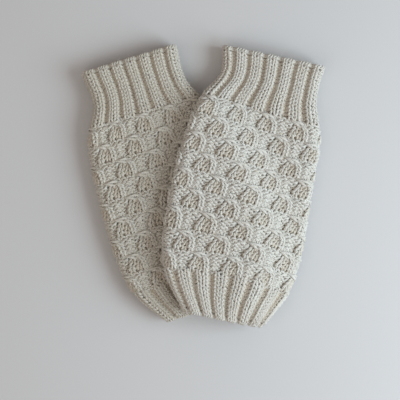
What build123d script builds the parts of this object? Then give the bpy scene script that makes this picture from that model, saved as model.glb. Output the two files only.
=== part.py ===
"""A pair of fingerless gloves: two hand-knitted tubes that lie flat, the upper one partly on the lower one."""

import os
from math import ceil, cos, radians, sin

from build123d import *

# Driving dimensions, in millimetres and degrees.
THICKNESS = 13.0  # one glove lying flat, both layers and the space between them
WALL = 3.8  # one layer of ribbed or cabled fabric
EDGE_ROW = 2.6  # length of the cast-on and bind-off edges
CUFF_START, CUFF_END = 56.5, -64.5  # where the wrist cuff and the finger cuff meet the hand body

# How the upper glove lies: its height over the lower glove and over the table, and how far
# outside and inside the lower glove's edge it stops and starts coming down. It bridges the lower
# glove's open end before it does.
REST_GAP, TABLE_GAP = 0.8, 0.3
DRAPE_OUTSIDE, DRAPE_INSIDE = 34.0, 6.0
BRIDGE = 10.0
DRAPE_POINTS = 11  # points of the curve across each draped layer
STATION_STEP = 9.0  # the most that the tube's sections are apart

# The woven-in yarn ends, darned along a purl valley on the inner face of the bottom layer.
END_WIDTH, END_HEIGHT, END_LENGTH, END_GAP = 1.8, 0.7, 26.0, 0.1
END_SIDE = {"lower": (-12.0, -12.0), "upper": (14.0, -8.0)}  # across the glove, at cast-on and bind-off
END_STATIONS = 5

# Each glove: the middle of its length, its lean (clockwise from +Y), and its flat outline as
# distance along the glove from that middle, then the left and the right edge there.
MIDDLE = {"lower": (-23.4, -1.37), "upper": (31.2, -1.37)}
LEAN = {"lower": -17.0, "upper": 12.0}
OUTLINE = {
    "lower": [
        (95.0, -37.0, 34.0),
        (84.0, -35.4, 32.4),
        (74.0, -34.2, 32.2),
        (66.0, -36.0, 33.4),
        (58.0, -41.5, 38.0),
        (46.0, -47.0, 44.0),
        (24.0, -50.0, 48.5),
        (-4.0, -51.8, 50.6),
        (-34.0, -52.0, 50.6),
        (-54.0, -50.0, 48.6),
        (-68.0, -45.5, 44.0),
        (-78.0, -38.5, 37.4),
        (-90.0, -29.8, 29.6),
    ],
    "upper": [
        (94.0, -38.6, 36.6),
        (84.0, -35.4, 34.6),
        (75.0, -34.4, 34.4),
        (66.0, -38.6, 35.4),
        (58.0, -44.6, 38.8),
        (44.0, -49.0, 43.6),
        (18.0, -52.6, 44.8),
        (-7.0, -53.4, 46.0),
        (-35.0, -52.5, 47.6),
        (-56.0, -49.7, 46.2),
        (-68.0, -45.0, 43.2),
        (-79.0, -37.4, 37.0),
        (-94.0, -24.6, 29.4),
    ],
}


def station_plane(glove, along):
    """The plane across a glove: local x to the glove's right, local y upwards."""
    x, y = MIDDLE[glove]
    lean = radians(LEAN[glove])
    origin = (x + along * sin(lean), y + along * cos(lean), 0)
    return Plane(origin=origin, x_dir=(cos(lean), -sin(lean), 0), z_dir=(-sin(lean), -cos(lean), 0))


def between(value, pairs):
    """Straight interpolation in a list of (key, value) pairs with rising keys."""
    for (low, first), (high, second) in zip(pairs, pairs[1:]):
        if value <= high or (high, second) == pairs[-1]:
            return first + (second - first) * (value - low) / (high - low)


def smooth_row(along, rows):
    """The outline at a distance along the glove: a smooth curve through the listed rows."""
    if along in [row[0] for row in rows]:
        return next(row for row in rows if row[0] == along)
    i = next(i for i in range(len(rows) - 1) if rows[i][0] > along > rows[i + 1][0])
    before, first, second, after = rows[max(i - 1, 0)], rows[i], rows[i + 1], rows[min(i + 2, len(rows) - 1)]
    span = second[0] - first[0]
    share = (along - first[0]) / span
    found = [along]
    for k in (1, 2):
        leave = (second[k] - before[k]) / (second[0] - before[0]) * span
        arrive = (after[k] - first[k]) / (after[0] - first[0]) * span
        rise = second[k] - first[k]
        bend = share * share * (3 - 2 * share)
        found.append(first[k] + rise * bend + share * (1 - share) * ((1 - share) * leave - share * arrive))
    return tuple(found)


def rows_of(glove):
    """The glove's outline at sections at most STATION_STEP apart."""
    listed = OUTLINE[glove]
    found = [listed[0]]
    for first, second in zip(listed, listed[1:]):
        count = ceil((first[0] - second[0]) / STATION_STEP)
        for i in range(1, count):
            found.append(smooth_row(first[0] + (second[0] - first[0]) * i / count, listed))
        found.append(second)
    return found


def support_edge():
    """The lower glove's right edge and fingertip end, as (along, across) of the upper glove."""
    *rows, (last_along, last_left, last_right) = rows_of("lower")
    points = [(right, along) for along, _, right in rows]
    points += [(last_right, last_along - BRIDGE), (last_left, last_along - BRIDGE)]
    across_upper = station_plane("upper", 0)
    found = []
    for right, along in points:
        spot = station_plane("lower", along).from_local_coords((right, 0, 0))
        local = across_upper.to_local_coords(spot)
        found.append((-local.Z, local.X))
    return sorted(found)


SUPPORT = support_edge()


def lift(glove, across, along):
    """Height of a glove's underside over the table."""
    if glove == "lower":
        return 0.0
    share = (between(along, SUPPORT) - across + DRAPE_OUTSIDE) / (DRAPE_OUTSIDE + DRAPE_INSIDE)
    share = min(max(share, 0.0), 1.0)
    return TABLE_GAP + (THICKNESS + REST_GAP - TABLE_GAP) * share * share * (3 - 2 * share)


def layer_curve(glove, along, start, stop, height):
    """One layer's line across a glove, height over its underside, from start to stop."""
    if glove == "lower":
        return Line((start, height), (stop, height))
    shares = [i / (DRAPE_POINTS - 1) for i in range(DRAPE_POINTS)]
    places = [start + (stop - start) * share for share in shares]
    points = [(place, height + lift(glove, place, along)) for place in places]
    curve = Edge.make_spline(points, parameters=shares)  # even knots, so that all sections match
    add(curve)
    return curve


def section(glove, along, left, right, inset):
    """A closed section of the tube: two long layers joined by half-round folds."""
    radius = THICKNESS / 2 - inset
    near, far = left + inset + radius, right - inset - radius
    with BuildSketch(station_plane(glove, along)) as sketch:
        with BuildLine():
            bottom = layer_curve(glove, along, near, far, inset)
            top = layer_curve(glove, along, far, near, THICKNESS - inset)
            middle_far = bottom @ 1 + (radius, radius)
            middle_near = bottom @ 0 + (-radius, radius)
            ThreePointArc(bottom @ 1, middle_far, top @ 0)
            ThreePointArc(top @ 1, middle_near, bottom @ 0)
        make_face()
    return sketch


def knitted_tube(glove):
    """The whole flattened tube of one glove, open at both ends."""
    with BuildPart() as tube:
        loft([section(glove, *row, 0).sketch for row in rows_of(glove)], ruled=True)
        loft([section(glove, *row, WALL).sketch for row in rows_of(glove)], ruled=True, mode=Mode.SUBTRACT)
    return tube


def stretch(glove, tube, first, last):
    """The tube between two distances along the glove."""
    with BuildPart() as piece:
        add(tube.part)
        split(bisect_by=station_plane(glove, first), keep=Keep.TOP)
        split(bisect_by=station_plane(glove, last), keep=Keep.BOTTOM)
    return piece


def yarn_end(glove, across, first, last):
    """A darned-in yarn end on the inner face of the bottom layer."""
    with BuildPart() as strand:
        faces = []
        for i in range(END_STATIONS):
            along = first + (last - first) * i / (END_STATIONS - 1)
            height = lift(glove, across, along) + WALL + END_GAP + END_HEIGHT / 2
            with BuildSketch(station_plane(glove, along)) as face:
                with Locations((across, height)):
                    Rectangle(END_WIDTH, END_HEIGHT)
            faces.append(face.sketch)
        loft(faces, ruled=True)
    return strand


def write(piece, name):
    piece.part.label = name
    export_step(piece.part, f"parts/{name}.step")


os.makedirs("parts", exist_ok=True)
for glove in ("lower", "upper"):
    top, bottom = OUTLINE[glove][0][0], OUTLINE[glove][-1][0]
    tube = knitted_tube(glove)
    stretches = {
        "cast_on_edge": (top, top - EDGE_ROW),
        "wrist_cuff": (top - EDGE_ROW, CUFF_START),
        "hand_body": (CUFF_START, CUFF_END),
        "finger_cuff": (CUFF_END, bottom + EDGE_ROW),
        "bind_off_edge": (bottom + EDGE_ROW, bottom),
    }
    for name, (first, last) in stretches.items():
        write(stretch(glove, tube, first, last), f"{glove}_{name}")
    start_side, finish_side = END_SIDE[glove]
    start, finish = top - EDGE_ROW, bottom + EDGE_ROW
    write(yarn_end(glove, start_side, start, start - END_LENGTH), f"{glove}_cast_on_yarn_end")
    write(yarn_end(glove, finish_side, finish, finish + END_LENGTH), f"{glove}_bind_off_yarn_end")
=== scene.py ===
from math import cos, pi, radians, sin

import bpy
import numpy as np
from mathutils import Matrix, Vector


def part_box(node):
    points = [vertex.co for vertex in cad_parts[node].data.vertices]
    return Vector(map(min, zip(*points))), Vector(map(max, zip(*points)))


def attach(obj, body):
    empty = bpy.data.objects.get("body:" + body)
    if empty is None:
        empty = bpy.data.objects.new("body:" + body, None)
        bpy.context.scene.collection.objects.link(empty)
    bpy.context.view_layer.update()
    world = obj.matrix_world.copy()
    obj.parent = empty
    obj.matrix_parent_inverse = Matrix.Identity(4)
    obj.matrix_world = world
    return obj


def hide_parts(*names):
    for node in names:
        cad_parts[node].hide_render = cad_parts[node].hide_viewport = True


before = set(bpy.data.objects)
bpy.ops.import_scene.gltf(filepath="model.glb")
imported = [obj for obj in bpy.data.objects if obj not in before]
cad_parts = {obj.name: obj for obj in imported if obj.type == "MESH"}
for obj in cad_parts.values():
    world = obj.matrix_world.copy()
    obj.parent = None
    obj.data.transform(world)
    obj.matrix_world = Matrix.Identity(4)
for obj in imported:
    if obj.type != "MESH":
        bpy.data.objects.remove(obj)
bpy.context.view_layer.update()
bpy.ops.object.select_all(action="DESELECT")


# ---- The table, the light and the camera ----
# The pair lies on a plain pale table under one large soft window light from the upper right,
# seen from straight above.
TABLE_TOP = -0.0011
LOOK_AT = (-0.00245, -0.0105, 0.012)
VIEW_WIDTH = 0.280
CAMERA_HEIGHT = 0.85

bpy.ops.mesh.primitive_plane_add(size=6, location=(0, 0, TABLE_TOP))
table = bpy.context.object
table.name = "table_top"
table_paint = bpy.data.materials.new("table_paint")
table_paint.use_nodes = True
table_shader = table_paint.node_tree.nodes["Principled BSDF"]
table_shader.inputs["Base Color"].default_value = (0.62, 0.61, 0.61, 1)
table_shader.inputs["Roughness"].default_value = 0.75
table.data.materials.append(table_paint)


def window_light(name, place, size, power, colour):
    """A soft square light that points at the gloves."""
    bpy.ops.object.light_add(type="AREA", location=place)
    lamp = bpy.context.object
    lamp.name = name
    lamp.data.size = size
    lamp.data.energy = power
    lamp.data.color = colour
    towards = -lamp.location.normalized()
    lamp.rotation_euler = towards.to_track_quat("-Z", "Y").to_euler()


window_light("window", (0.67, -0.16, 0.46), 0.6, 7.4, (0.77, 0.91, 1.0))
window_light("room", (-0.9, -0.9, 1.4), 1.6, 6.0, (1.0, 0.93, 0.87))
world = bpy.data.worlds.new("room_light")
world.use_nodes = True
world.node_tree.nodes["Background"].inputs["Color"].default_value = (0.88, 0.81, 0.76, 1)
world.node_tree.nodes["Background"].inputs["Strength"].default_value = 0.42
bpy.context.scene.world = world
bpy.context.scene.view_settings.view_transform = "Standard"

bpy.ops.object.camera_add(location=(LOOK_AT[0], LOOK_AT[1], LOOK_AT[2] + CAMERA_HEIGHT))
camera = bpy.context.object
camera.data.sensor_width = 36
camera.data.lens = 36 * CAMERA_HEIGHT / VIEW_WIDTH
bpy.context.scene.camera = camera


# ---- Where the cloth of each glove lies ----
# Each glove is one layer of knitting made up as a tube. The cloth's middle surface is a little
# inside the outline of the glove's solids, so it is read from them: one ring every few millimetres.
GLOVES = ("lower", "upper")
LEAN = {"lower": radians(-17), "upper": radians(12)}
TUBE_PARTS = ("cast_on_edge", "wrist_cuff", "hand_body", "finger_cuff", "bind_off_edge")
CLOTH_DEPTH = 0.0018
STATION_STEP = 0.002
RING_POINTS = 240


def node_corners(name):
    """The corners of a node's triangles."""
    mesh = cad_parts[name].data
    mesh.calc_loop_triangles()
    corners = np.empty(len(mesh.loop_triangles) * 3, np.int32)
    mesh.loop_triangles.foreach_get("vertices", corners)
    places = np.empty(len(mesh.vertices) * 3)
    mesh.vertices.foreach_get("co", places)
    return places.reshape(-1, 3)[corners]


def walk_rings(links):
    """Closed chains of edges from a dict of each edge's two neighbours."""
    left = set(links)
    while left:
        ring = [left.pop()]
        while True:
            following = [e for e in links[ring[-1]] if e in left]
            if not following:
                break
            ring.append(following[0])
            left.discard(following[0])
        yield ring


def resampled(line, count):
    """Evenly spaced points round a closed line."""
    closed = np.vstack([line, line[:1]])
    run = np.r_[0, np.cumsum(np.linalg.norm(np.diff(closed, axis=0), axis=1))]
    spots = np.linspace(0, run[-1], count, endpoint=False)
    return np.stack([np.interp(spots, run, closed[:, k]) for k in range(closed.shape[1])], 1)


class Cloth:
    """The middle surface of a glove's knitting: rings along the glove, and the way out of them."""

    def __init__(self, glove):
        lean = LEAN[glove]
        self.up = np.array([sin(lean), cos(lean), 0])
        self.right = np.array([cos(lean), -sin(lean), 0])
        corners = np.concatenate([node_corners(f"{glove}_{part}") for part in TUBE_PARTS])
        places, index = np.unique(corners.round(6), axis=0, return_inverse=True)
        index = index.reshape(-1, 3)
        height = places @ self.up
        self.bottom, self.top = height.min(), height.max()
        self.stations = np.arange(self.top - 0.0003, self.bottom, -STATION_STEP)
        rings = [self.ring(places, index, height, station) for station in self.stations]
        self.rings = self.smooth(np.array(rings))
        around = np.roll(self.rings, -1, 1) - np.roll(self.rings, 1, 1)
        along = np.gradient(self.rings, axis=0)
        out = np.cross(along, around)
        self.out = out / np.linalg.norm(out, axis=2, keepdims=True)

    def ring(self, places, index, height, station):
        """The cloth's line across the glove, from the left fold over the top and back under."""
        above = height > station
        split = above[index].any(1) & ~above[index].all(1)
        links = {}
        for triangle in index[split]:
            pair = [
                tuple(sorted((triangle[k], triangle[k - 1])))
                for k in range(3)
                if above[triangle[k]] != above[triangle[k - 1]]
            ]
            links.setdefault(pair[0], []).append(pair[1])
            links.setdefault(pair[1], []).append(pair[0])
        widest = None
        for chain in walk_rings(links):
            a, b = np.array(chain).T
            share = ((station - height[a]) / (height[b] - height[a]))[:, None]
            spots = places[a] + share * (places[b] - places[a])
            line = np.stack([spots @ self.right, spots[:, 2]], 1)
            if widest is None or np.ptp(line[:, 0]) > np.ptp(widest[:, 0]):
                widest = line
        line = resampled(widest, 4 * RING_POINTS)
        x, z = line.T
        if np.sum(x * np.roll(z, -1) - np.roll(x, -1) * z) > 0:
            line = line[::-1]
        step = np.roll(line, -1, 0) - np.roll(line, 1, 0)
        inwards = np.stack([step[:, 1], -step[:, 0]], 1)
        line = line + inwards / np.linalg.norm(inwards, axis=1, keepdims=True) * CLOTH_DEPTH
        leftmost = np.flatnonzero(line[:, 0] < line[:, 0].min() + 2e-5)
        line = resampled(np.roll(line, -leftmost[len(leftmost) // 2], 0), RING_POINTS)
        return line[:, :1] * self.right + station * self.up + line[:, 1:] * [0, 0, 1]

    @staticmethod
    def smooth(rings):
        """Rounds off the facets between the solids' sections."""
        for _ in range(6):
            inner = (rings[:-2] + 2 * rings[1:-1] + rings[2:]) / 4
            rings = np.concatenate([rings[:1], inner, rings[-1:]])
            rings = (np.roll(rings, 1, 1) + 6 * rings + np.roll(rings, -1, 1)) / 8
        return rings

    def at(self, around, along):
        """Places on the cloth and the way out there. around is a share of the round from the left
        fold, along the distance down from the cast-on end."""
        row = (along - (self.top - self.stations[0])) / STATION_STEP
        low = np.clip(np.floor(row).astype(int), 0, len(self.stations) - 2)
        row = (row - low)[:, None]
        spot = (around % 1.0) * RING_POINTS
        near = np.floor(spot).astype(int) % RING_POINTS
        far = (near + 1) % RING_POINTS
        spot = (spot - np.floor(spot))[:, None]

        def mixed(grid):
            first = grid[low, near] * (1 - spot) + grid[low, far] * spot
            second = grid[low + 1, near] * (1 - spot) + grid[low + 1, far] * spot
            return first * (1 - row) + second * row

        out = mixed(self.out)
        return mixed(self.rings), out / np.linalg.norm(out, axis=1, keepdims=True)


cloth = {glove: Cloth(glove) for glove in GLOVES}


# ---- The yarn ----
# Three-ply wool spun from cream, fawn and grey fleece, so its colour changes every few millimetres.
# The plies twist round each other and loose fibres blur them. Painted shade makes the yarn in hollows,
# sunk into the knitting and in the ply grooves browner and darker.
YARN_RADIUS = 0.00097
PLIES = 3
PLY_GROOVE = 0.12
TURN_POINTS = 9
# The lower glove's wool is a painted-shade copy of the upper's, darker and warmer, for lying farther from
# the window and partly in the upper glove's shade.
WOOL_LIT_AND_SHADED = {"lower": (0.655, 0.63, 0.565, 1), "upper": (0.695, 0.68, 0.635, 1)}
FAWN = (0.42, 0.33, 0.22, 1)
GREY = (0.40, 0.39, 0.37, 1)
# A brown that is painted shade in hollows and ply grooves, and also a faint random cloudy tone of the
# yarn.
SHADE_AND_TONE_BROWN = (0.56, 0.46, 0.34, 1)


def linked(tree, output, socket):
    """Joins one node's output to another's input."""
    tree.links.new(output, socket)


def number_node(tree, operation, first, second=None):
    """A Math node, whose inputs are sockets or numbers."""
    node = tree.nodes.new("ShaderNodeMath")
    node.operation = operation
    for socket, value in zip(node.inputs, (first, second)):
        if isinstance(value, (int, float)):
            socket.default_value = value
        elif value is not None:
            linked(tree, value, socket)
    return node.outputs[0]


def noise_node(tree, vector, scale, detail, rough=0.5):
    """Cloudy noise from 0 to 1."""
    node = tree.nodes.new("ShaderNodeTexNoise")
    node.inputs["Scale"].default_value = scale
    node.inputs["Detail"].default_value = detail
    node.inputs["Roughness"].default_value = rough
    linked(tree, vector, node.inputs["Vector"])
    return node.outputs["Fac"]


def ramp_node(tree, value, low, high):
    """A smooth step from low to high."""
    node = tree.nodes.new("ShaderNodeMapRange")
    node.interpolation_type = "SMOOTHSTEP"
    node.inputs["From Min"].default_value = low
    node.inputs["From Max"].default_value = high
    linked(tree, value, node.inputs["Value"])
    return node.outputs["Result"]


def mix_node(tree, share, first, second):
    """A colour mix, whose inputs are sockets or colours."""
    node = tree.nodes.new("ShaderNodeMix")
    node.data_type = "RGBA"
    linked(tree, share, node.inputs["Factor"])
    for socket, value in zip((node.inputs[6], node.inputs[7]), (first, second)):
        if isinstance(value, tuple):
            socket.default_value = value
        else:
            linked(tree, value, socket)
    return node.outputs[2]


def heather_group():
    """Spun wool: colour, roughness and height along a strand whose UV is millimetres and turns. Its colour
    is mixed with painted shade where the yarn lies sunk into the knitting and in the ply grooves.
    """
    tree = bpy.data.node_groups.new("Heathered wool", "ShaderNodeTree")
    for name, kind in (("Wool", "Color"), ("Flecks", "Float"), ("Depth", "Float")):
        tree.interface.new_socket(name, in_out="INPUT", socket_type=f"NodeSocket{kind}")
    for name, kind in (("Color", "Color"), ("Roughness", "Float"), ("Height", "Float")):
        tree.interface.new_socket(name, in_out="OUTPUT", socket_type=f"NodeSocket{kind}")
    given, made = tree.nodes.new("NodeGroupInput"), tree.nodes.new("NodeGroupOutput")
    strand = tree.nodes.new("ShaderNodeUVMap")
    strand.uv_map = "strand"
    split = tree.nodes.new("ShaderNodeSeparateXYZ")
    linked(tree, strand.outputs["UV"], split.inputs["Vector"])
    along, turn = split.outputs["X"], split.outputs["Y"]

    wave = number_node(tree, "COSINE", number_node(tree, "MULTIPLY", turn, PLIES * pi))
    ply = number_node(tree, "ABSOLUTE", wave)
    place = tree.nodes.new("ShaderNodeTexCoord").outputs["Object"]
    stretched = tree.nodes.new("ShaderNodeCombineXYZ")
    linked(tree, number_node(tree, "MULTIPLY", along, 0.6), stretched.inputs["X"])
    linked(tree, number_node(tree, "MULTIPLY", turn, 7.0), stretched.inputs["Y"])
    hair = noise_node(tree, stretched.outputs["Vector"], 3.0, 3.0, 0.65)

    spun = tree.nodes.new("ShaderNodeCombineXYZ")
    linked(tree, number_node(tree, "MULTIPLY", along, 0.33), spun.inputs["X"])
    linked(tree, number_node(tree, "MULTIPLY", turn, 1.6), spun.inputs["Y"])
    fawn = ramp_node(tree, noise_node(tree, spun.outputs["Vector"], 1.7, 2.0), 0.50, 0.72)
    grey = ramp_node(tree, noise_node(tree, place, 620.0, 2.0), 0.52, 0.74)
    cloud = ramp_node(tree, noise_node(tree, place, 60.0, 2.0), 0.35, 0.70)
    fawn = number_node(tree, "MULTIPLY", fawn, given.outputs["Flecks"])
    grey = number_node(tree, "MULTIPLY", grey, given.outputs["Flecks"])
    colour = mix_node(tree, fawn, given.outputs["Wool"], FAWN)
    colour = mix_node(tree, grey, colour, GREY)
    colour = mix_node(tree, number_node(tree, "MULTIPLY", cloud, 0.10), colour, SHADE_AND_TONE_BROWN)
    # Painted shade: yarn in hollows or sunk into the knitting is mixed towards brown.
    colour = mix_node(tree, given.outputs["Depth"], colour, SHADE_AND_TONE_BROWN)
    # Painted shade in the grooves between the plies.
    groove = number_node(tree, "MULTIPLY", number_node(tree, "SUBTRACT", 1.0, ply), 0.30)
    colour = mix_node(tree, groove, colour, SHADE_AND_TONE_BROWN)
    linked(tree, colour, made.inputs["Color"])
    rough = number_node(tree, "ADD", number_node(tree, "MULTIPLY", hair, 0.2), 0.75)
    linked(tree, rough, made.inputs["Roughness"])
    raised = number_node(tree, "ADD", number_node(tree, "MULTIPLY", hair, 0.7), ply)
    linked(tree, raised, made.inputs["Height"])
    return tree


heather = heather_group()


def wool_material(name, wool, flecks, depth):
    """A wool finish: the shared heather group feeds the shader. depth sets how strongly the painted shade
    in the mesh's depth attribute shows.
    """
    material = bpy.data.materials.new(name)
    material.use_nodes = True
    tree = material.node_tree
    shader = tree.nodes["Principled BSDF"]
    shader.inputs["Sheen Weight"].default_value = 0.25
    shader.inputs["Sheen Roughness"].default_value = 0.5
    shader.inputs["Specular IOR Level"].default_value = 0.15
    group = tree.nodes.new("ShaderNodeGroup")
    group.node_tree = heather
    group.inputs["Wool"].default_value = wool
    group.inputs["Flecks"].default_value = flecks
    # The depth attribute is painted shade: how much browner and darker each point of yarn is painted for
    # lying in hollows or sunk into the knitting.
    painted_shade_attribute = tree.nodes.new("ShaderNodeAttribute")
    painted_shade_attribute.attribute_name = "depth"
    linked(tree, number_node(tree, "MULTIPLY", painted_shade_attribute.outputs["Fac"], depth), group.inputs["Depth"])
    linked(tree, group.outputs["Color"], shader.inputs["Base Color"])
    linked(tree, group.outputs["Roughness"], shader.inputs["Roughness"])
    bump = tree.nodes.new("ShaderNodeBump")
    bump.inputs["Strength"].default_value = 0.6
    bump.inputs["Distance"].default_value = 0.00018
    linked(tree, group.outputs["Height"], bump.inputs["Height"])
    linked(tree, bump.outputs["Normal"], shader.inputs["Normal"])
    return material


def strand_mesh(name, strands, radius, closed=True):
    """One mesh of twisted strands. A strand is its points, the way out of the cloth and its depth, the
    painted shade it carries from 0 to 1.
    """
    places, faces, uvs, depths = [], [], [], []
    offset = 0
    sides = 2 * PLIES
    turns = np.arange(sides) / sides
    lobes = 1 + PLY_GROOVE * np.cos(PLIES * 2 * pi * turns)
    for points, out, depth in strands:
        count = len(points)
        if closed:
            tangent = np.roll(points, -1, 0) - np.roll(points, 1, 0)
        else:
            tangent = np.gradient(points, axis=0)
        tangent /= np.linalg.norm(tangent, axis=1, keepdims=True)
        side = np.cross(tangent, out)
        side /= np.linalg.norm(side, axis=1, keepdims=True)
        face = np.cross(side, tangent)
        step = np.linalg.norm(np.diff(points, axis=0, append=points[:1]), axis=1)
        run = np.r_[0, np.cumsum(step)]
        twist = np.arange(count) / count * max(1, round(count / TURN_POINTS))
        angle = 2 * pi * (turns + twist[:, None])[:, :, None]
        ring = np.cos(angle) * side[:, None] + np.sin(angle) * face[:, None]
        places.append((points[:, None] + radius * lobes[:, None] * ring).reshape(-1, 3))
        depths.append(np.repeat(depth, sides))
        run = run * 1000
        i = np.arange(count if closed else count - 1)[:, None]
        k = np.arange(sides)[None]
        ahead, beside = (i + 1) % count, (k + 1) % sides
        quads = np.stack([i * sides + k, ahead * sides + k, ahead * sides + beside, i * sides + beside], 2)
        faces.append(offset + quads.reshape(-1, 4))
        u = np.stack([run[i] + 0 * k, run[i + 1] + 0 * k, run[i + 1] + 0 * k, run[i] + 0 * k], 2)
        v = np.stack([k + 0 * i, k + 0 * i, k + 1 + 0 * i, k + 1 + 0 * i], 2) / sides
        uvs.append(np.stack([u, v], 3).reshape(-1, 2))
        offset += count * sides
    places, faces, uvs = np.concatenate(places), np.concatenate(faces), np.concatenate(uvs)
    mesh = bpy.data.meshes.new(name)
    mesh.vertices.add(len(places))
    mesh.vertices.foreach_set("co", places.astype(np.float32).ravel())
    mesh.loops.add(faces.size)
    mesh.loops.foreach_set("vertex_index", faces.astype(np.int32).ravel())
    mesh.polygons.add(len(faces))
    mesh.polygons.foreach_set("loop_start", np.arange(0, faces.size, 4, dtype=np.int32))
    mesh.polygons.foreach_set("use_smooth", np.ones(len(faces), bool))
    layer = mesh.uv_layers.new(name="strand")
    layer.data.foreach_set("uv", uvs.astype(np.float32).ravel())
    # The depth attribute carries painted shade to the wool material.
    attribute = mesh.attributes.new("depth", "FLOAT", "POINT")
    attribute.data.foreach_set("value", np.concatenate(depths).astype(np.float32))
    mesh.update(calc_edges=True)
    piece = bpy.data.objects.new(name, mesh)
    bpy.context.scene.collection.objects.link(piece)
    return piece


# ---- The knitting ----
# Every round is one loop of yarn after another, each drawn through the loop of the round before.
# A knit stitch shows its two legs on the outside, a purl stitch the bars over and under them.
LOOP_POINTS = 14
RIB_HEIGHT = 0.0014
LOOP_SWAY = 1.5
LOOP_RISE = 0.80
LOOP_DEPTH = 0.00062
CAST_ON_DEPTH = 0.0026
WRIST_ROUNDS, BODY_ROUNDS, FINGER_ROUNDS = 15, 45, 11
WRIST_STITCHES, BODY_STITCHES, FINGER_STITCHES = 56, 54, 56
BODY_START = {"lower": 0.0396, "upper": 0.0401}
BODY_ROW = {"lower": 0.00264, "upper": 0.00260}
KNIT, PURL = 1.0, -1.0
unevenness = np.random.default_rng(11)


def smooth_step(value, low, high):
    """Rises smoothly from 0 at low to 1 at high."""
    share = np.clip((value - low) / (high - low), 0, 1)
    return share * share * (3 - 2 * share)


def hill(value, centre, width):
    """A smooth bump of height 1 at its centre."""
    return np.exp(-(((value - centre) / width) ** 2))


def rib_kind(stitch, row):
    """Two knit, two purl, all the way up."""
    return np.where(stitch % 4 < 2, KNIT, PURL)


def rib_field(x, rows, row):
    """The rib's shape: knit pairs stand up and spread, purl pairs fold back between them."""
    wave = 2 * pi * (x - 1) / 4
    ridge = np.tanh(1.7 * np.cos(wave) + 0.35)
    # The last value is painted shade, strongest in the purl valleys between the knit pairs.
    return 0.32 * np.sin(wave), 0 * x, RIB_HEIGHT * ridge, 0.8 - 0.8 * ridge


BAND = 5
REPEAT = 6


def body_kind(stitch, row):
    """Squares of three knit beside three purl, which change places every band."""
    return np.where((stitch + REPEAT // 2 * (row // BAND)) % REPEAT < 3, KNIT, PURL)


def body_field(x, rows, row):
    """The body's shape: in each knit square the first stitch crosses over the other two."""
    # Where the place is in its square: which stitch, and how many rounds above the band's start.
    band = np.floor(row / BAND)
    level = rows - BAND * band
    started = (row - BAND * band) < 0.5
    local = (x + REPEAT // 2 * band + 1.5) % REPEAT - 1.5
    block = smooth_step(local, -0.12, 0.12) * (1 - smooth_step(local, 2.88, 3.12))
    first = 1 - smooth_step(local, 0.88, 1.12)
    third = smooth_step(local, 1.88, 2.12)
    over = block * np.where(started, first, third)
    under = block - over

    # Sideways: the first stitch is thrown over two places, the other two are tucked back by one,
    # and the purl stitches beside them are dragged along and then spread again.
    thrown = 1 - (1 - np.clip((level + 0.05) / 1.5, 0, 1)) ** 2
    tucked = smooth_step(level, 0.0, 4.2)
    shift = over * np.where(started, 2 * thrown, 2 * thrown - 2)
    shift = shift + under * np.where(started, -tucked, 1 - tucked)
    dragged = np.clip((np.where(local < 0, local + REPEAT, local) - 3) / 3, 0, 1) ** 1.4
    shift = shift + 0.95 * (1 - block) * dragged * (1 - tucked) * smooth_step(level, 0.2, 0.9)
    place = local + shift
    spread = smooth_step(level, 0.3, 2.4) * (1 - smooth_step(level, 4.65, 5.3))
    shift = shift + spread * (0.39 + 0.38 * np.cos(2 * pi * (place - 2.5) / REPEAT))
    slant = over * hill(level, 0.65, 0.75) * (local - np.where(started, 0.5, 2.5))
    shift = shift - 0.45 * slant

    # Outwards: the crossing stands up, the square below it is hollow, and the purl puffs a little.
    crossing = hill(level, 0.8, 1.1)
    low = smooth_step(level, 0.9, 2.2) * (1 - smooth_step(level, 4.6, 5.1))
    inner = smooth_step(place, 0.5, 1.3)
    over_lift = 0.0012 * crossing + 0.0010 * low
    under_lift = -0.0003 * crossing + (0.0012 - 0.0009 * inner) * low
    lift = over * over_lift + under * under_lift
    puff = (1 - block) * np.sin(pi * np.clip(level / BAND, 0, 1))
    puff = puff * np.sin(pi * np.clip((place - 3) / 3, 0, 1))
    groove = hill(local, -0.1, 0.30) * smooth_step(level, 1.5, 2.9) * (1 - smooth_step(level, 4.8, 5.3))
    ledge = hill(level, 4.75, 0.30) * smooth_step(local, -0.4, 0.1) * (1 - smooth_step(local, 2.5, 3.1))
    brow = (hill(level, 0.2, 0.45) + 0.5 * hill(level, 1.1, 0.4)) * (1 - block)
    lift = lift + 0.0006 * puff - 0.0012 * groove - 0.0008 * ledge + 0.0007 * brow
    lift = lift + 0.0007 * (1 - block) * dragged * hill(level, 1.3, 0.9)
    floats = (hill(local, 0, 0.16) + hill(local, 3, 0.16)) * (1 - smooth_step(level, 1.0, 2.2))
    lift = lift - 0.0006 * floats * smooth_step(level, 0.3, 0.8)
    # The hollow mask is painted shade: under the crossing, below it on the inner stitch, in the groove at
    # the square's left and along its bottom ledge.
    hollow = under * (0.25 * crossing + 0.65 * inner * low) + 0.4 * ledge + 0.4 * groove
    drop = block * smooth_step(level, 4.2, 4.8) + (1 - block) * (1 - smooth_step(level, 0.2, 1.2))
    start = over * started * (1 - smooth_step(level, -0.2, 0.9))
    return shift, 0.34 * drop + 0.24 * start - 1.2 * slant, lift, np.clip(hollow, 0, 1)


# How each glove's rounds lean and droop and where its first stitches are, in metres and stitches.
LEAN_OF_ROUNDS = {"lower": 0.0, "upper": 0.0022}
DROOP = {"lower": 0.0, "upper": 0.0040}
TURN_OF_BODY = {"lower": 0.0, "upper": -1.85}
FACE_SPREAD = {
    "lower": {"wrist": -0.035, "body": 0.01, "finger": 0.0},
    "upper": {"wrist": 0.045, "body": 0.08, "finger": -0.025},
}
FIRST_STITCH = {
    "lower": {"wrist": 1.1, "body": 4.9, "finger": 1.0},
    "upper": {"wrist": 0.56, "body": 1.6, "finger": 3.08},
}


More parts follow.
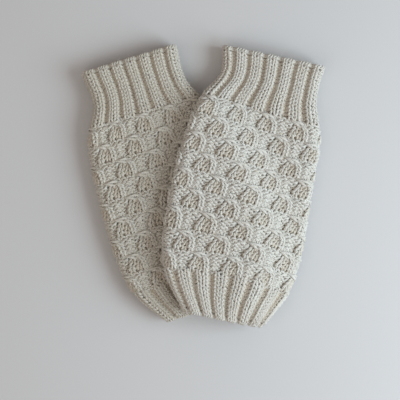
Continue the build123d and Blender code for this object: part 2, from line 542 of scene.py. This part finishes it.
def on_the_glove(glove, part, stitches, x, along):
    """Where a place in the pattern lies: the tubes are a little twisted, stretched and askew."""
    x = x + FIRST_STITCH[glove][part]
    if part == "body":
        x = x + TURN_OF_BODY[glove] * smooth_step(along, 0.055, 0.160)
    share = x / stitches
    share = share - FACE_SPREAD[glove][part] / (2 * pi) * np.cos(2 * pi * share)
    across = np.cos(2 * pi * share)
    lean = smooth_step(along, 0.004, 0.045) * (1 - smooth_step(along, 0.108, 0.140))
    droop = smooth_step(along, 0.112, 0.142) * (1 - smooth_step(along, 0.156, 0.186))
    along = along - LEAN_OF_ROUNDS[glove] * lean * across + DROOP[glove] * droop * (across**2 - 0.25)
    return cloth[glove].at(share, along)


def knit_round(glove, part, stitches, row, start, kind, field, pitch, last):
    """The yarn of one round: its points, the way out and its depth, the painted shade of yarn in hollows
    and sunk into the cloth.
    """
    turn = -pi + 2 * pi * np.arange(LOOP_POINTS) / LOOP_POINTS
    stitch = np.repeat(np.arange(stitches), LOOP_POINTS)
    turn = np.tile(turn, stitches)
    own, above = kind(stitch, row), kind(stitch, row if last else row + 1)
    beside = kind((stitch + np.where(turn > 0, 1, -1)) % stitches, row)
    foot = smooth_step(np.abs(turn), 0.72 * pi, pi)
    below = own * (1 - foot / 2) + beside * foot / 2
    head = 1 - smooth_step(np.abs(turn), 0.36 * pi, 0.62 * pi)
    side = below * (1 - head) + above * head
    size = np.repeat(1 + 0.07 * unevenness.standard_normal(stitches), LOOP_POINTS)
    slip = np.repeat(0.06 * unevenness.standard_normal(stitches), LOOP_POINTS)
    sway = np.repeat(0.04 * unevenness.standard_normal(stitches), LOOP_POINTS)
    x = stitch + 0.5 + (turn + LOOP_SWAY * np.sin(2 * turn)) / (2 * pi) + sway * np.cos(turn / 2)
    rows = row + 0.5 + LOOP_RISE * size * np.cos(turn) + slip
    shift, slide, lift, hollow = field(x, rows, row)
    height = lift - side * LOOP_DEPTH * np.cos(2 * turn)
    points, out = on_the_glove(glove, part, stitches, x + shift, start + (rows + slide) * pitch)
    # Painted shade: yarn in the pattern's hollows or pushed under the cloth's middle is painted browner
    # and darker.
    painted_shade = np.clip(hollow * 0.9 + np.clip(-height / 0.0022, 0, 1) * 0.4, 0, 1)
    return points + out * height[:, None], out, painted_shade


def knitted(name, glove, part, stitches, rounds, start, kind, field, pitch, first=0, total=None):
    """A stretch of knitting as one piece."""
    total = total or rounds
    strands = [
        knit_round(glove, part, stitches, row, start, kind, field, pitch, row == total - 1)
        for row in range(first, first + rounds)
    ]
    piece = strand_mesh(name, strands, YARN_RADIUS)
    piece.data.materials.append(wool[glove])
    return piece


# 0.45 is how much the heather flecks show, 0.55 how strongly the painted shade shows.
wool = {glove: wool_material(f"{glove}_oatmeal_wool", WOOL_LIT_AND_SHADED[glove], 0.45, 0.55) for glove in GLOVES}


# ---- Wrist cuffs, hand bodies and finger cuffs ----
# Each tube is knitted from the wrist: a flared cuff in two-by-two rib, the hand in crossed squares
# and a short rib at the fingers. It is one yarn all the way, and only the stitch pattern changes.
BODY_PIECES = 3
for glove in GLOVES:
    body_name = f"{glove}_glove"
    body_start, row_height = BODY_START[glove], BODY_ROW[glove]
    pitch = (body_start - CAST_ON_DEPTH) / WRIST_ROUNDS
    cuff = knitted(
        f"{glove}_wrist_rib", glove, "wrist", WRIST_STITCHES, WRIST_ROUNDS, CAST_ON_DEPTH,
        rib_kind, rib_field, pitch,
    )
    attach(cuff, body_name)
    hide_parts(f"{glove}_wrist_cuff")
    third = BODY_ROUNDS // BODY_PIECES
    for part in range(BODY_PIECES):
        piece = knitted(
            f"{glove}_hand_cables_{part + 1}", glove, "body", BODY_STITCHES, third, body_start,
            body_kind, body_field, row_height, first=part * third, total=BODY_ROUNDS,
        )
        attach(piece, body_name)
        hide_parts(f"{glove}_hand_body")
    start = body_start + BODY_ROUNDS * row_height
    length = cloth[glove].top - cloth[glove].bottom
    pitch = (length - CAST_ON_DEPTH - start) / FINGER_ROUNDS
    cuff = knitted(
        f"{glove}_finger_rib", glove, "finger", FINGER_STITCHES, FINGER_ROUNDS, start,
        rib_kind, rib_field, pitch,
    )
    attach(cuff, body_name)
    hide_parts(f"{glove}_finger_cuff")


# ---- The inside face ----
# Behind the stitches the back of the cloth closes every gap: feet of stitches felted together
# with loose wool, half a millimetre thick, seen only between stitches and through the two mouths.
# Its darker, browner colour is painted shade for the shade that falls behind the stitches.
LINING_ROUND, LINING_ALONG = 120, 80
LINING_IN_RIB, LINING_IN_BODY, LINING_THICKNESS = 0.0015, 0.0006, 0.0005
LINING_FROM_MOUTH = 0.0022


def lining_piece(name, glove):
    """A thin closed sleeve just inside the stitches."""
    length = cloth[glove].top - cloth[glove].bottom
    share, along = np.meshgrid(
        np.arange(LINING_ROUND) / LINING_ROUND,
        np.linspace(LINING_FROM_MOUTH, length - LINING_FROM_MOUTH, LINING_ALONG),
    )
    middle, out = cloth[glove].at(share.ravel(), along.ravel())
    start, end = BODY_START[glove], BODY_START[glove] + BODY_ROUNDS * BODY_ROW[glove]
    body = smooth_step(along, start - 0.004, start + 0.002)
    body = body * (1 - smooth_step(along, end - 0.002, end + 0.004))
    depth = (LINING_IN_RIB + (LINING_IN_BODY - LINING_IN_RIB) * body).reshape(-1, 1)
    places = np.concatenate([middle - depth * out, middle - (depth + LINING_THICKNESS) * out])
    wall = LINING_ROUND * LINING_ALONG
    row, k = np.arange(LINING_ALONG - 1)[:, None], np.arange(LINING_ROUND)[None]
    a, b = row * LINING_ROUND + k, row * LINING_ROUND + (k + 1) % LINING_ROUND
    c, d = b + LINING_ROUND, a + LINING_ROUND
    outer = np.stack([a, b, c, d], 2).reshape(-1, 4)
    inner = wall + np.stack([d, c, b, a], 2).reshape(-1, 4)
    rims = []
    k = np.arange(LINING_ROUND)
    for first, way in ((0, 1), (wall - LINING_ROUND, -1)):
        a, b = first + k, first + (k + 1) % LINING_ROUND
        rims.append(np.stack([a, a + wall, b + wall, b][::way], 1))
    faces = np.concatenate([outer, inner, *rims])
    mesh = bpy.data.meshes.new(name)
    mesh.from_pydata(places.tolist(), [], faces.tolist())
    mesh.polygons.foreach_set("use_smooth", np.ones(len(faces), bool))
    mesh.update()
    piece = bpy.data.objects.new(name, mesh)
    bpy.context.scene.collection.objects.link(piece)
    return piece


shaded_felt = bpy.data.materials.new("inside_felt_painted_shade")
shaded_felt.use_nodes = True
felt_shader = shaded_felt.node_tree.nodes["Principled BSDF"]
# Painted shade: this sheet is darker and browner than the wool, for the shade behind the stitches.
felt_shader.inputs["Base Color"].default_value = (0.60, 0.51, 0.40, 1)
felt_shader.inputs["Roughness"].default_value = 0.95
for glove in GLOVES:
    piece = lining_piece(f"{glove}_inside_face", glove)
    piece.data.materials.append(shaded_felt)
    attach(piece, f"{glove}_glove")


# ---- Loose fibres ----
# Short hairs that stand out of the spun wool all over each glove and soften its outline.
# They are 2 to 5 mm long and a tenth of a millimetre thick at the root, held only by the spinning.
FIBRES = 6000
FIBRE_STATIONS = 4
FIBRE_RADIUS, TIP_SHARE = 0.00005, 0.35
FIBRE_SIDES = 3
HIGHEST_ROOT = 0.0009
LOWEST_FIBRE = -0.0002


def fibre_mesh(name, paths):
    """All hairs as one mesh: three-sided, thinning to the tip."""
    count, stations = paths.shape[:2]
    tangent = np.gradient(paths, axis=1)
    tangent /= np.linalg.norm(tangent, axis=2, keepdims=True)
    side = np.cross(tangent, [0.3, 0.5, 0.81])
    side /= np.linalg.norm(side, axis=2, keepdims=True)
    face = np.cross(side, tangent)
    angle = 2 * pi * np.arange(FIBRE_SIDES) / FIBRE_SIDES
    angle = angle[None, None, :, None]
    radius = (FIBRE_RADIUS * np.linspace(1, TIP_SHARE, stations))[None, :, None, None]
    ring = np.cos(angle) * side[:, :, None] - np.sin(angle) * face[:, :, None]
    places = (paths[:, :, None] + radius * ring).reshape(-1, 3)
    hair = np.arange(count)[:, None, None]
    i = np.arange(stations - 1)[None, :, None]
    k = np.arange(FIBRE_SIDES)[None, None]
    start = (hair * stations + i) * FIBRE_SIDES
    beside = (k + 1) % FIBRE_SIDES
    quads = np.stack([start + k, start + beside, start + FIBRE_SIDES + beside, start + FIBRE_SIDES + k], 3)
    mesh = bpy.data.meshes.new(name)
    mesh.from_pydata(places.tolist(), [], quads.reshape(-1, 4).tolist())
    mesh.update()
    piece = bpy.data.objects.new(name, mesh)
    bpy.context.scene.collection.objects.link(piece)
    return piece


fibre = bpy.data.materials.new("loose_wool_fibre")
fibre.use_nodes = True
fibre_shader = fibre.node_tree.nodes["Principled BSDF"]
fibre_shader.inputs["Base Color"].default_value = (0.78, 0.77, 0.73, 1)
fibre_shader.inputs["Roughness"].default_value = 0.7
chance = np.random.default_rng(29)
for glove in GLOVES:
    length = cloth[glove].top - cloth[glove].bottom
    root, out = cloth[glove].at(chance.random(FIBRES), 0.001 + (length - 0.002) * chance.random(FIBRES))
    heading = chance.standard_normal((FIBRES, 3))
    heading -= out * (heading * out).sum(1, keepdims=True)
    heading /= np.linalg.norm(heading, axis=1, keepdims=True)
    curl = chance.standard_normal((FIBRES, 3))
    reach = (0.0016 + 0.0030 * chance.random(FIBRES))[:, None, None]
    rise = (0.0003 + 0.0013 * chance.random(FIBRES))[:, None, None]
    t = np.linspace(0, 1, FIBRE_STATIONS)[None, :, None]
    paths = root[:, None] + out[:, None] * (HIGHEST_ROOT * chance.random(FIBRES)[:, None, None] + rise * t)
    paths = paths + reach * (heading[:, None] * t + 0.35 * curl[:, None] * t * (t - 0.4))
    paths[:, :, 2] = np.maximum(paths[:, :, 2], LOWEST_FIBRE)
    piece = fibre_mesh(f"{glove}_loose_fibres", paths)
    piece.data.materials.append(fibre)
    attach(piece, f"{glove}_glove")


# ---- Cast-on and bind-off edges ----
# A firm edge of the same wool closes each end of the tube, so that the stitches can't run. It looks
# like two strands that cross once a stitch, and it follows the ribs up and down.
EDGE_RADIUS = 0.00085
EDGE_FROM_MOUTH, EDGE_HALF_WIDTH, EDGE_SCALLOP = 0.0017, 0.0009, 0.00025


def edge_piece(name, glove, part, stitches, along, scallop):
    """Two strands that cross once a stitch, all round the mouth."""
    x = np.arange(stitches * LOOP_POINTS) / LOOP_POINTS
    shift, _, lift, hollow = rib_field(x, 0 * x, 0)
    strands = []
    for way in (0, pi):
        swing = 2 * pi * x + way
        reach = along + EDGE_HALF_WIDTH * np.cos(swing) + scallop * (1 - 1.2 * hollow)
        points, out = on_the_glove(glove, part, stitches, x + shift, reach)
        height = 0.6 * lift + 0.0006 * np.sin(swing)
        # A little painted shade in the rib valleys along the edge.
        strands.append((points + out * height[:, None], out, 0.3 * hollow))
    piece = strand_mesh(name, strands, EDGE_RADIUS)
    piece.data.materials.append(wool[glove])
    return piece


for glove in GLOVES:
    length = cloth[glove].top - cloth[glove].bottom
    ends = {
        "cast_on_edge": ("wrist", WRIST_STITCHES, EDGE_FROM_MOUTH, -EDGE_SCALLOP),
        "bind_off_edge": ("finger", FINGER_STITCHES, length - EDGE_FROM_MOUTH, EDGE_SCALLOP),
    }
    for edge, (part, stitches, along, scallop) in ends.items():
        piece = edge_piece(f"{glove}_{edge}_chain", glove, part, stitches, along, scallop)
        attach(piece, f"{glove}_glove")
        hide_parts(f"{glove}_{edge}")


# ---- Woven-in yarn ends ----
# The start and the finish of the yarn, darned up and down along the inside of the bottom layer
# and left without a knot, so that the end of the tube still stretches.
TAIL_RADIUS, TAIL_POINTS = 0.00045, 60
TAIL_SWAY, TAIL_RISE = 0.0004, 0.00022
TAIL_SHARE = 0.92  # how much of the yarn end's length the strand's middle line takes
for glove in GLOVES:
    for end in ("cast_on_yarn_end", "bind_off_yarn_end"):
        low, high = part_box(f"{glove}_{end}")
        middle, up, right = np.array((low + high) / 2), cloth[glove].up, cloth[glove].right
        reach = (high.y - low.y) / 2 / up[1] * TAIL_SHARE
        step = np.linspace(-1, 1, TAIL_POINTS)
        sway = TAIL_SWAY * np.sin(step * 30)
        rise = TAIL_RISE * np.sin(step * 45)
        points = middle + (step * reach)[:, None] * up + sway[:, None] * right + rise[:, None] * [0, 0, 1]
        out = np.tile([0.0, 0.0, 1.0], (len(step), 1))
        # The yarn ends carry an even painted shade for lying inside the bottom layer.
        strand = (points, out, 0.4 + 0 * step)
        tail = strand_mesh(f"{glove}_{end}_strand", [strand], TAIL_RADIUS, closed=False)
        tail.data.materials.append(wool[glove])
        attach(tail, f"{glove}_glove")
        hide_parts(f"{glove}_{end}")
